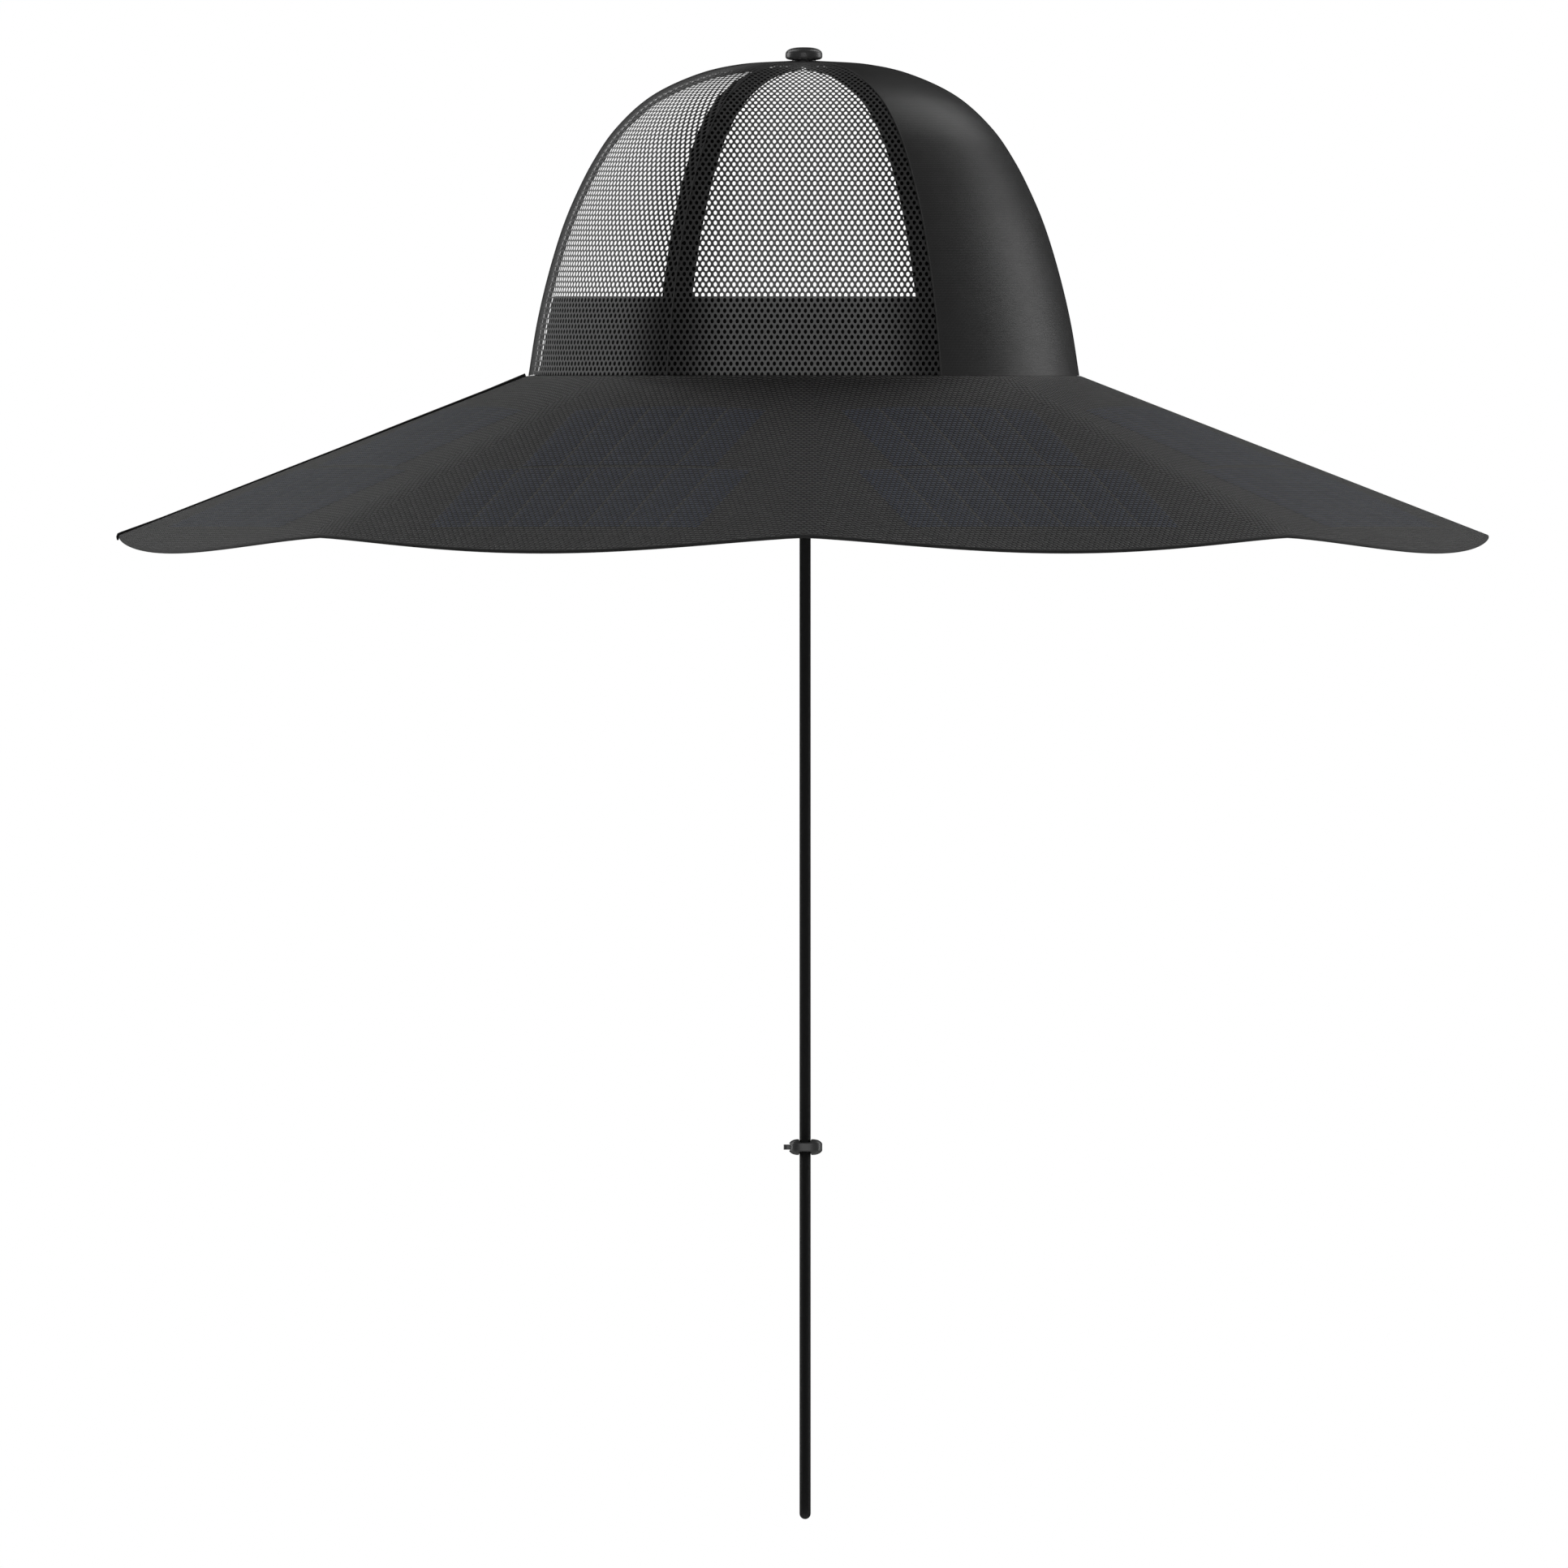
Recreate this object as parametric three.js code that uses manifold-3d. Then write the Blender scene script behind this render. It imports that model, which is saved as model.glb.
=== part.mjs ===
// A sun hat with solar panels on its folded brim, in millimetres, +Z up and +X to the front.
// The origin is the centre of the head opening, in the plane of the crown's base.
import * as THREE from 'three';
import { mergeVertices } from 'three/addons/utils/BufferGeometryUtils.js';
import Module from 'manifold-3d';

const wasm = await Module();
wasm.setup();

// The cloth's thickness, the gap between two gores, the gap between other pieces, and the
// smallest step that is kept where the net's gaps cross the crown's facets
const cloth = 1.2;
const seamGap = 0.3;
const clear = 0.3;
const smallest = 0.02;

// The crown's outer surface: height above its base and radius there
const crownRows = [
  { z: 0, r: 100.3 },
  { z: 18.7, r: 97.3 },
  { z: 36.4, r: 93.2 },
  { z: 54.2, r: 87.8 },
  { z: 66.1, r: 82.9 },
  { z: 77.9, r: 76.9 },
  { z: 89.7, r: 68.9 },
  { z: 101.6, r: 56.0 },
  { z: 109.9, r: 38.7 },
  { z: 113.4, r: 23.8 },
  { z: 114.8, r: 3.6 },
];
const goreAngle = Math.PI / 3;
const goreColumns = 6;
const goreLevels = 11;

// The gaps of the net, wider than the real ones, in staggered rows
const netGap = { width: 11.6, across: 16.4, up: 12.8, lowest: 37.0, border: 1.5, cut: 8 };

const tape = { width: 12.4, thickness: 1.0, depth: cloth + 0.7, bottomShare: 0.012, topShare: 0.965 };
const sweatband = {
  height: 29,
  thickness: 1.5,
  inset: 3.55,
  topInset: 3.7,
  lipRadius: 98.3,
  lip: 1.2,
  segments: 40,
};
const button = {
  radius: 6.65,
  bottom: 115.1,
  top: 119.9,
  shankRadius: 3.1,
  shankBottom: 112.6,
  domeDegrees: [-45, 0, 40, 68],
  segments: 20,
};

// The brim: straight radial lines from the crown's base to a hem that dips between eight folds
const brim = {
  innerRadius: 97.0,
  hemRadius: 250.0,
  thickness: 1.2,
  foldDrop: 58.2,
  panelDip: 5.7,
  dipPower: 1.25,
  foldPairs: 4,
  segments: 64,
};
const binding = { width: 1.4, thickness: 1.2, edge: 0.3 };
const piping = { width: 1.8, height: 0.8, start: 101.5, end: 250.4, steps: 8 };

// A solar panel: radius along its middle line and half its width there
const panelRows = [
  { r: 126.5, half: 38.25 },
  { r: 176.5, half: 38.25 },
  { r: 179.4, half: 53.55 },
  { r: 230.3, half: 53.55 },
];
const panel = { count: 8, columns: 6, thickness: 0.6, above: 0.45 };
const foldAngle = (2 * Math.PI) / panel.count;

// The chin cord hangs in a plane x = constant and is the same on both sides
const cord = { x: 0.45, diameter: 4.1, sides: 8, stepsPerPoint: 2 };
const cordRows = [
  { y: 93.0, z: -6.5 },
  { y: 93.0, z: -14 },
  { y: 91.4, z: -24 },
  { y: 85.5, z: -42 },
  { y: 71.7, z: -82 },
  { y: 54.4, z: -132 },
  { y: 37.2, z: -182 },
  { y: 20.0, z: -232 },
  { y: 9.3, z: -259 },
  { y: 4.0, z: -270 },
  { y: 2.4, z: -277 },
  { y: 2.4, z: -286 },
  { y: 3.4, z: -300 },
  { y: 5.8, z: -335 },
  { y: 8.3, z: -375 },
  { y: 9.6, z: -397 },
  { y: 8.9, z: -407.5 },
  { y: 5.2, z: -413.6 },
  { y: 0, z: -415.25 },
];
const tab = { width: 12, thickness: 4.6, top: 14, bottom: -6, outerAtTop: 91.8, outerAtBottom: 95.0 };

// The cord lock: a flat rounded body, cut by the cords' hole, two saddles and the button's slot
const lock = {
  z: -281.5,
  length: 12.2,
  width: 17.0,
  height: 5.7,
  edge: 2.4,
  corner: 3.0,
  saddleRadius: 3.9,
  saddleDepth: 1.4,
  saddleSides: 16,
  slotWidth: 9.6,
  slotHeight: 2.5,
  slotEnd: -1.5,
  holeWidth: 4.7,
  holeLength: 9.5,
  holeCorner: 2.3,
  arcSteps: 3,
};
const lockButton = { outer: -7.85, inner: -4.0, width: 9.0, height: 1.9, corner: 1.2 };

const finishes = {
  wovenCloth: { color: 0x2e2f30, roughness: 0.72, metalness: 0 },
  netCloth: { color: 0x2b2c2c, roughness: 0.7, metalness: 0 },
  tapeCloth: { color: 0x1a1b1b, roughness: 0.85, metalness: 0 },
  brimFilm: { color: 0x343536, roughness: 0.55, metalness: 0 },
  cellFilm: { color: 0x2b2f37, roughness: 0.4, metalness: 0.1 },
  cordCloth: { color: 0x141515, roughness: 0.6, metalness: 0 },
  lockPlastic: { color: 0x3a3c3c, roughness: 0.4, metalness: 0 },
};

// Bends a box of cells: each corner (u, v, w), from 0 to 1, goes where place() puts it
function bent(columns, levels, place) {
  const geometry = new THREE.BoxGeometry(1, 1, 1, columns, levels, 1);
  const position = geometry.attributes.position;
  for (let i = 0; i < position.count; i += 1) {
    const u = Math.round((position.getX(i) + 0.5) * columns) / columns;
    const v = Math.round((position.getY(i) + 0.5) * levels) / levels;
    const w = Math.round(position.getZ(i) + 0.5);
    const point = place(u, v, w);
    position.setXYZ(i, point.x, point.y, point.z);
  }
  return welded(geometry);
}

// Keeps the positions alone, with shared corners
function welded(geometry) {
  geometry.deleteAttribute('normal');
  geometry.deleteAttribute('uv');
  return mergeVertices(geometry, 1e-4);
}

// A ring or knob turned about the Z axis from points of radius and height
function turned(profile, segments) {
  const points = profile.map(({ r, z }) => new THREE.Vector2(r, z));
  return welded(new THREE.LatheGeometry(points, segments).rotateX(Math.PI / 2));
}

function toManifold(geometry) {
  const plain = welded(geometry);
  const mesh = new wasm.Mesh({
    numProp: 3,
    vertProperties: new Float32Array(plain.attributes.position.array),
    triVerts: new Uint32Array(plain.index.array),
  });
  return new wasm.Manifold(mesh);
}

function fromManifold(manifold) {
  const mesh = manifold.getMesh();
  const geometry = new THREE.BufferGeometry();
  geometry.setAttribute('position', new THREE.BufferAttribute(mesh.vertProperties, 3));
  geometry.setIndex(new THREE.BufferAttribute(mesh.triVerts, 1));
  return geometry;
}

const meridian = new THREE.CatmullRomCurve3(
  crownRows.map(({ z, r }) => new THREE.Vector3(r, 0, z)),
  false,
  'centripetal',
);

// A point of the crown, at a share of the way up its meridian and a depth under its outer face
function crownPoint(azimuth, share, depth) {
  const middle = meridian.getPointAt(share);
  const slope = meridian.getTangentAt(share);
  const r = middle.x - depth * slope.z;
  const z = Math.max(0, middle.z + depth * slope.x);
  return new THREE.Vector3(r * Math.cos(azimuth), r * Math.sin(azimuth), z);
}

function crownRadiusAt(share) {
  return meridian.getPointAt(share).x;
}

// One gore of the crown, from the seam at its start to the next one
function gore(start) {
  return bent(goreColumns, goreLevels, (u, v, w) => {
    const margin = seamGap / 2 / crownRadiusAt(v);
    const azimuth = start + margin + u * (goreAngle - 2 * margin);
    return crownPoint(azimuth, v, cloth * (1 - w));
  });
}

// Six-sided cutters, square to the crown, in every place of the net's clear window
function netCutters(start) {
  const middle = start + goreAngle / 2;
  const length = meridian.getLength();
  const cutters = [];
  for (let row = 0; netGap.lowest + row * netGap.up < length; row += 1) {
    const share = (netGap.lowest + row * netGap.up) / length;
    const r = crownRadiusAt(share);
    const room = (r * goreAngle) / 2 - tape.width / 2 - netGap.width / 2 - netGap.border;
    const shift = (row % 2) / 2;
    const reach = Math.floor(room / netGap.across + shift);
    for (let column = -reach; column <= reach; column += 1) {
      const offset = (column + shift) * netGap.across;
      if (Math.abs(offset) <= room) {
        cutters.push(netCutter(middle + offset / r, share));
      }
    }
  }
  return cutters;
}

function netCutter(azimuth, share) {
  const outer = crownPoint(azimuth, share, 0);
  const inner = crownPoint(azimuth, share, cloth);
  const out = outer.clone().sub(inner).normalize();
  const along = new THREE.Vector3(-Math.sin(azimuth), Math.cos(azimuth), 0);
  const up = new THREE.Vector3().crossVectors(along, out);
  const radius = netGap.width / 2;
  const cutter = new THREE.CylinderGeometry(radius, radius, netGap.cut, 6);
  cutter.applyMatrix4(new THREE.Matrix4().makeBasis(along, out, up).setPosition(outer));
  return cutter;
}

function netGore(start) {
  let wall = toManifold(gore(start));
  for (const cutter of netCutters(start)) {
    wall = wall.subtract(toManifold(cutter));
  }
  return fromManifold(wall.asOriginal().simplify(smallest));
}

// A seam's tape, under the cloth, which narrows where the six tapes meet
function seamTape(azimuth) {
  return bent(2, goreLevels, (u, v, w) => {
    const share = tape.bottomShare + v * (tape.topShare - tape.bottomShare);
    const r = crownRadiusAt(share);
    const half = Math.min(tape.width / 2, (r - tape.depth) * Math.tan(goreAngle / 2) - clear);
    const turn = azimuth + ((2 * u - 1) * half) / r;
    return crownPoint(turn, share, tape.depth + tape.thickness * (1 - w));
  });
}

function sweatbandRing() {
  const base = crownRows[0].r - sweatband.inset;
  const share = sweatband.height / meridian.getLength();
  const top = crownRadiusAt(share) - sweatband.topInset;
  return turned([
    { r: base - sweatband.thickness, z: 0 },
    { r: sweatband.lipRadius, z: 0 },
    { r: sweatband.lipRadius, z: sweatband.lip },
    { r: base, z: sweatband.lip },
    { r: top, z: sweatband.height },
    { r: top - sweatband.thickness, z: sweatband.height },
    { r: base - sweatband.thickness, z: 0 },
  ], sweatband.segments);
}

function topButton() {
  const { radius, bottom, top, shankRadius, shankBottom } = button;
  const half = (top - bottom) / 2;
  const flat = radius - half;
  const dome = button.domeDegrees.map((degrees) => {
    const angle = THREE.MathUtils.degToRad(degrees);
    return { r: flat + half * Math.cos(angle), z: bottom + half + half * Math.sin(angle) };
  });
  return turned([
    { r: 0, z: shankBottom },
    { r: shankRadius, z: shankBottom },
    { r: shankRadius, z: bottom },
    { r: flat, z: bottom },
    ...dome,
    { r: 0, z: top },
  ], button.segments);
}

// Height of the brim's upper face above the crown's base, at a place seen from above
function brimHeight(x, y) {
  const out = (Math.hypot(x, y) - crownRows[0].r) / (brim.hemRadius - crownRows[0].r);
  const wave = Math.abs(Math.sin(brim.foldPairs * Math.atan2(y, x))) ** brim.dipPower;
  const hem = brim.foldDrop + brim.panelDip * wave;
  return -clear - Math.max(0, out) * (hem - clear);
}

// The part of the brim between two folds, from its flat edge under the crown to the hem band
function brimSection(start) {
  const radii = [brim.innerRadius, crownRows[0].r, brim.hemRadius - binding.width - clear];
  const levels = radii.length - 1;
  return bent(brim.segments / panel.count, levels, (u, v, w) => {
    const r = radii[Math.round(v * levels)];
    const margin = seamGap / 2 / r;
    const azimuth = start + margin + (1 - u) * (foldAngle - 2 * margin);
    const x = r * Math.cos(azimuth);
    const y = r * Math.sin(azimuth);
    return new THREE.Vector3(x, y, brimHeight(x, y) - brim.thickness * (1 - w));
  });
}

// The hem band is a ring turned from points of radius and height over the brim's upper face
function brimBinding() {
  const inner = brim.hemRadius - binding.width;
  const rise = (binding.thickness - brim.thickness) / 2;
  const low = rise - binding.thickness;
  const ring = turned([
    { r: inner, z: low },
    { r: brim.hemRadius - binding.edge, z: low },
    { r: brim.hemRadius, z: low + binding.edge },
    { r: brim.hemRadius, z: rise - binding.edge },
    { r: brim.hemRadius - binding.edge, z: rise },
    { r: inner, z: rise },
    { r: inner, z: low },
  ], brim.segments);
  const position = ring.attributes.position;
  for (let i = 0; i < position.count; i += 1) {
    const lift = brimHeight(position.getX(i), position.getY(i));
    position.setZ(i, position.getZ(i) + lift);
  }
  return ring;
}

function rearPiping() {
  const rise = Math.max(0, binding.thickness - brim.thickness) / 2 + clear;
  return bent(2, piping.steps, (u, v, w) => {
    const x = -(piping.start + v * (piping.end - piping.start));
    const y = (u - 0.5) * piping.width;
    const crowned = u === 0.5 ? piping.height : piping.height / 2;
    return new THREE.Vector3(x, y, brimHeight(x, 0) + rise + w * crowned);
  });
}

// A panel's plate lies on the brim, with its cells' strips along the radius
function solarPanel(azimuth) {
  const levels = panelRows.length - 1;
  return bent(panel.columns, levels, (u, v, w) => {
    const row = panelRows[Math.round(v * levels)];
    const side = (1 - 2 * u) * row.half;
    const x = row.r * Math.cos(azimuth) - side * Math.sin(azimuth);
    const y = row.r * Math.sin(azimuth) + side * Math.cos(azimuth);
    return new THREE.Vector3(x, y, brimHeight(x, y) + panel.above + w * panel.thickness);
  });
}

function strapTab(side) {
  return bent(1, 1, (u, v, w) => {
    const outer = tab.outerAtBottom + v * (tab.outerAtTop - tab.outerAtBottom);
    const x = cord.x + (0.5 - u) * tab.width * side;
    const y = (outer - (1 - w) * tab.thickness) * side;
    return new THREE.Vector3(x, y, tab.bottom + v * (tab.top - tab.bottom));
  });
}

// The cord's steps follow the route's own points, which lie closer together at the bends
function chinCord() {
  const left = cordRows.map(({ y, z }) => new THREE.Vector3(cord.x, y, z));
  const right = left.slice(0, -1).reverse().map(({ x, y, z }) => new THREE.Vector3(x, -y, z));
  const route = new THREE.CatmullRomCurve3([...left, ...right], false, 'centripetal');
  route.getUtoTmapping = (share) => share;
  const section = new THREE.Shape();
  for (let i = 0; i < cord.sides; i += 1) {
    const angle = ((i + 0.5) / cord.sides) * 2 * Math.PI;
    const x = (cord.diameter / 2) * Math.cos(angle);
    const y = (cord.diameter / 2) * Math.sin(angle);
    if (i === 0) {
      section.moveTo(x, y);
    } else {
      section.lineTo(x, y);
    }
  }
  const steps = (route.points.length - 1) * cord.stepsPerPoint;
  return new THREE.ExtrudeGeometry(section, { steps, bevelEnabled: false, extrudePath: route });
}

// A rectangle with round corners, centred on the origin
function roundedShape(length, width, corner) {
  const x = length / 2 - corner;
  const y = width / 2 - corner;
  const shape = new THREE.Shape();
  shape.absarc(x, y, corner, 0, Math.PI / 2);
  shape.absarc(-x, y, corner, Math.PI / 2, Math.PI);
  shape.absarc(-x, -y, corner, Math.PI, 1.5 * Math.PI);
  shape.absarc(x, -y, corner, 1.5 * Math.PI, 2 * Math.PI);
  return shape;
}

function lockBody() {
  const waist = roundedShape(lock.length - 2 * lock.edge, lock.width - 2 * lock.edge, lock.corner);
  const pill = new THREE.ExtrudeGeometry(waist, {
    depth: lock.height - 2 * lock.edge,
    bevelThickness: lock.edge,
    bevelSize: lock.edge,
    bevelSegments: 2,
    curveSegments: lock.arcSteps,
  });
  pill.translate(0, 0, lock.edge - lock.height / 2);
  const hole = new THREE.ExtrudeGeometry(
    roundedShape(lock.holeWidth, lock.holeLength, lock.holeCorner),
    { depth: 2 * lock.height, bevelEnabled: false, curveSegments: lock.arcSteps },
  );
  hole.translate(0, 0, -lock.height);
  const saddles = [1, -1].map((side) => {
    const away = lock.height / 2 + lock.saddleRadius - lock.saddleDepth;
    const { saddleRadius, width, saddleSides } = lock;
    const saddle = new THREE.CylinderGeometry(saddleRadius, saddleRadius, 2 * width, saddleSides);
    return saddle.translate(0, 0, side * away);
  });
  const slot = new THREE.BoxGeometry(lock.length, lock.slotWidth, lock.slotHeight);
  slot.translate(lock.slotEnd - lock.length / 2, 0, 0);
  let body = toManifold(pill);
  for (const cutter of [hole, ...saddles, slot]) {
    body = body.subtract(toManifold(cutter));
  }
  return fromManifold(body);
}

function lockButtonPlate() {
  const { outer, inner, width, height, corner } = lockButton;
  const plate = new THREE.ExtrudeGeometry(roundedShape(inner - outer, width, corner), {
    depth: height,
    bevelEnabled: false,
    curveSegments: lock.arcSteps,
  });
  return plate.translate((outer + inner) / 2, 0, -height / 2);
}

const hat = new THREE.Group();

function add(name, geometry, finish, place = [0, 0, 0]) {
  const mesh = new THREE.Mesh(geometry, new THREE.MeshStandardMaterial(finishes[finish]));
  mesh.name = name;
  mesh.position.set(...place);
  hat.add(mesh);
}

add('crown_front_left', gore(0), 'wovenCloth');
add('crown_side_left', netGore(goreAngle), 'netCloth');
add('crown_rear_left', netGore(2 * goreAngle), 'netCloth');
add('crown_rear_right', netGore(3 * goreAngle), 'netCloth');
add('crown_side_right', netGore(4 * goreAngle), 'netCloth');
add('crown_front_right', gore(5 * goreAngle), 'wovenCloth');

const seamNames = ['front', 'front_left', 'rear_left', 'rear', 'rear_right', 'front_right'];
seamNames.forEach((name, i) => add(`seam_tape_${name}`, seamTape(i * goreAngle), 'tapeCloth'));

add('sweatband', sweatbandRing(), 'tapeCloth');
add('top_button', topButton(), 'lockPlastic');
for (let i = 0; i < panel.count; i += 1) {
  add(`brim_section_${i + 1}`, brimSection(i * foldAngle), 'brimFilm');
  add(`solar_panel_${i + 1}`, solarPanel((i + 0.5) * foldAngle), 'cellFilm');
}
add('brim_binding', brimBinding(), 'brimFilm');
add('brim_rear_piping', rearPiping(), 'tapeCloth');

add('strap_tab_left', strapTab(1), 'tapeCloth');
add('strap_tab_right', strapTab(-1), 'tapeCloth');
add('chin_cord', chinCord(), 'cordCloth');
add('lock_body', lockBody(), 'lockPlastic', [cord.x, 0, lock.z]);
add('lock_button', lockButtonPlate(), 'lockPlastic', [cord.x, 0, lock.z]);

export default hat;
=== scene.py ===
# %% [markdown]
# # A sun hat with solar panels
# The hat's hard frame was built to size before, and this lesson gives it its looks. It is seen
# straight from the side: a crown of six gores, four of them net, a wide folded brim with cells of
# solar film, and a chin cord that hangs down with its lock. All sizes are in metres.

# %% The hard frame
import math

import bpy
import numpy as np
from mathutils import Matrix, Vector


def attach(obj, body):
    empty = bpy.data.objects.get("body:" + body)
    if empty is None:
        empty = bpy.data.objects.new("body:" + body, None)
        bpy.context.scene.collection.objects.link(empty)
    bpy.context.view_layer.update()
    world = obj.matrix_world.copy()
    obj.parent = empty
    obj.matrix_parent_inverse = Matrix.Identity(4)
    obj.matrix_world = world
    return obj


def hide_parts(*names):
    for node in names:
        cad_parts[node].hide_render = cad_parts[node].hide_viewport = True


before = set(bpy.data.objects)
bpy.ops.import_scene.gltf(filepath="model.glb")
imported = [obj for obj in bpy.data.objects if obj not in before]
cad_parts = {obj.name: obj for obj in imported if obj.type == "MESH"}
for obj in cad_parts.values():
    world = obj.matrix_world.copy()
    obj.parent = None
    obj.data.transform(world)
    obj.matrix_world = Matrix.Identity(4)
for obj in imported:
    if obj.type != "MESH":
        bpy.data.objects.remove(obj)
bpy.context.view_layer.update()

# %% [markdown]
# ## The camera
# The picture is a side elevation with no perspective, like a drawing. A far camera with a long
# lens comes close to it, but an orthographic camera is exactly that, so it is used here. One
# pixel is then the same length all over the hat. The pixel where the middle of the crown's base
# lies says how far the camera moves to the side and down.

# %% Camera
photo_side = 1932
pixel = 0.0002962
crown_middle = 990.5
crown_base = 463
camera_away = 2.5


def put_in_scene(name, data):
    """A new object with that data, in the scene."""
    obj = bpy.data.objects.new(name, data)
    bpy.context.scene.collection.objects.link(obj)
    return obj


camera_data = bpy.data.cameras.new("side_elevation")
camera_data.type = "ORTHO"
camera_data.ortho_scale = photo_side * pixel
camera_data.clip_end = 20
camera = put_in_scene("side_elevation", camera_data)
right = (photo_side / 2 - crown_middle) * pixel
up = (crown_base - photo_side / 2) * pixel
camera.location = (right, -camera_away, up)
camera.rotation_euler = (math.pi / 2, 0, 0)
bpy.context.scene.camera = camera
print("the picture is", round(camera_data.ortho_scale, 4), "m wide")

# %% [markdown]
# ## Surfaces from tables of points
# Every soft piece here is a surface: a table of points with rows and columns. It could be pushed
# into shape by hand, but a table that is worked out from sizes is exact and easy to change.
# The cells of the table are its faces. A table may join up with itself, as a ring does, be
# closed by a cap at each end, as a cord is, or be doubled into a wall, as cloth is.

# %% Tables of points
def angles(count):
    """Evenly spaced angles round a full turn."""
    return np.arange(count) / count * 2 * np.pi


def round_circle(sides, radius):
    """Distances round a circle, from its start to each of its corners and back to its start."""
    return np.arange(sides + 1) / sides * 2 * np.pi * radius


def points_of(*coordinates):
    """A table of points from coordinates that differ by row, by column or by both."""
    return np.stack(np.broadcast_arrays(*coordinates), axis=-1)


def pairs_of(across, along):
    """A table of pairs: across goes from column to column, and along from row to row."""
    return np.stack(np.meshgrid(across, along), axis=-1)


def both_sides(outer, inner):
    """The points of a wall: its outer table's and then its inner table's."""
    return np.concatenate([outer.reshape(-1, 3), inner.reshape(-1, 3)])


# %% Faces of a table
def cells(table):
    """The four corners of each cell of a table of numbers, or of pairs of numbers."""
    table = np.asarray(table)
    corners = [table[:-1, :-1], table[:-1, 1:], table[1:, 1:], table[1:, :-1]]
    return np.stack(corners, axis=2).reshape(-1, 4, *table.shape[2:])


def numbered(rows, columns, around=False, closed=False):
    """A table's point numbers. around repeats its first column, and closed its first row."""
    table = np.arange(rows * columns).reshape(rows, columns)
    if around:
        table = np.hstack([table, table[:, :1]])
    if closed:
        table = np.vstack([table, table[:1]])
    return table


def ring_faces(rows, columns, uv):
    """A closed section carried round to its own start: both ways of the table join up."""
    return [cells(numbered(rows, columns, True, True))], [cells(uv)]


def tube_faces(rows, columns, uv):
    """A tube of rings, with one flat face over its first ring and one over its last."""
    table = numbered(rows, columns, True)
    faces = [cells(table), table[:1, :-1][:, ::-1], table[-1:, :-1]]
    return faces, [cells(uv), uv[:1, :-1][:, ::-1], uv[-1:, :-1]]


def wall_faces(rows, columns, uv):
    """A wall between two tables of the same size, the outer one first, with a rim all round."""
    front = numbered(rows, columns)
    edge = np.concatenate([front[0], front[1:, -1], front[-1, -2::-1], front[-2::-1, 0]])
    back = front + front.size
    faces = [cells(front), cells(back)[:, ::-1], cells(np.stack([edge + front.size, edge]))]
    rim = uv.reshape(-1, 2)[edge]
    return faces, [cells(uv), cells(uv)[:, ::-1], cells(np.stack([rim, rim]))]


# %% A piece of the hat
def signed_volume(points, faces):
    """A sixth of the sum of a . (b x c) over all triangles, positive if the faces point out."""
    total = 0.0
    for part in faces:
        first = points[part[:, 0]]
        for k in range(1, part.shape[1] - 1):
            total += np.sum(first * np.cross(points[part[:, k]], points[part[:, k + 1]]))
    return total / 6


def finish_of(slot):
    """The material of one of the record's slots, made when it is first asked for."""
    return bpy.data.materials.get(slot) or bpy.data.materials.new(slot)


def new_piece(name, points, faces, uvs, slot, stands_for=(), marks=None, sharp=40):
    """Puts a closed surface into a mesh. Faces that point inwards are all turned round."""
    points = np.asarray(points, float).reshape(-1, 3)
    volume = signed_volume(points, faces)
    if volume < 0:
        faces = [part[:, ::-1] for part in faces]
        uvs = [part[:, ::-1] for part in uvs]
    corners = np.concatenate([part.ravel() for part in faces]).astype(np.int32)
    sizes = np.concatenate([np.full(len(part), part.shape[1]) for part in faces])
    mesh = bpy.data.meshes.new(name)
    mesh.vertices.add(len(points))
    mesh.vertices.foreach_set("co", points.astype(np.float32).ravel())
    mesh.loops.add(len(corners))
    mesh.loops.foreach_set("vertex_index", corners)
    mesh.polygons.add(len(sizes))
    mesh.polygons.foreach_set("loop_start", (np.cumsum(sizes) - sizes).astype(np.int32))
    layer = mesh.uv_layers.new(name="surface")
    flat = np.concatenate([part.reshape(-1, 2) for part in uvs]).astype(np.float32)
    layer.data.foreach_set("uv", flat.ravel())
    for label, values in (marks or {}).items():
        attribute = mesh.attributes.new(label, "FLOAT", "POINT")
        attribute.data.foreach_set("value", np.asarray(values, np.float32).ravel())
    mesh.update(calc_edges=True)
    mesh.set_sharp_from_angle(angle=math.radians(sharp))
    mesh.materials.append(finish_of(slot))
    obj = put_in_scene(name, mesh)
    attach(obj, "hat")
    if stands_for:
        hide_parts(*stands_for)
    print(name, len(sizes), "faces,", round(abs(volume) * 1e6, 2), "ml")
    return obj


def mirrored(points):
    """The same points on the other side of the hat: y changes its sign."""
    return points * np.array([1.0, -1.0, 1.0])


# %% [markdown]
# ## Smooth lines
# The crown's outline and the cord's route are each given by a few points. Straight lines between
# them would show corners, and a line that is fitted near them would miss them. This curve passes
# through every point, and its speed follows the distance between points, so it doesn't loop.

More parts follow.
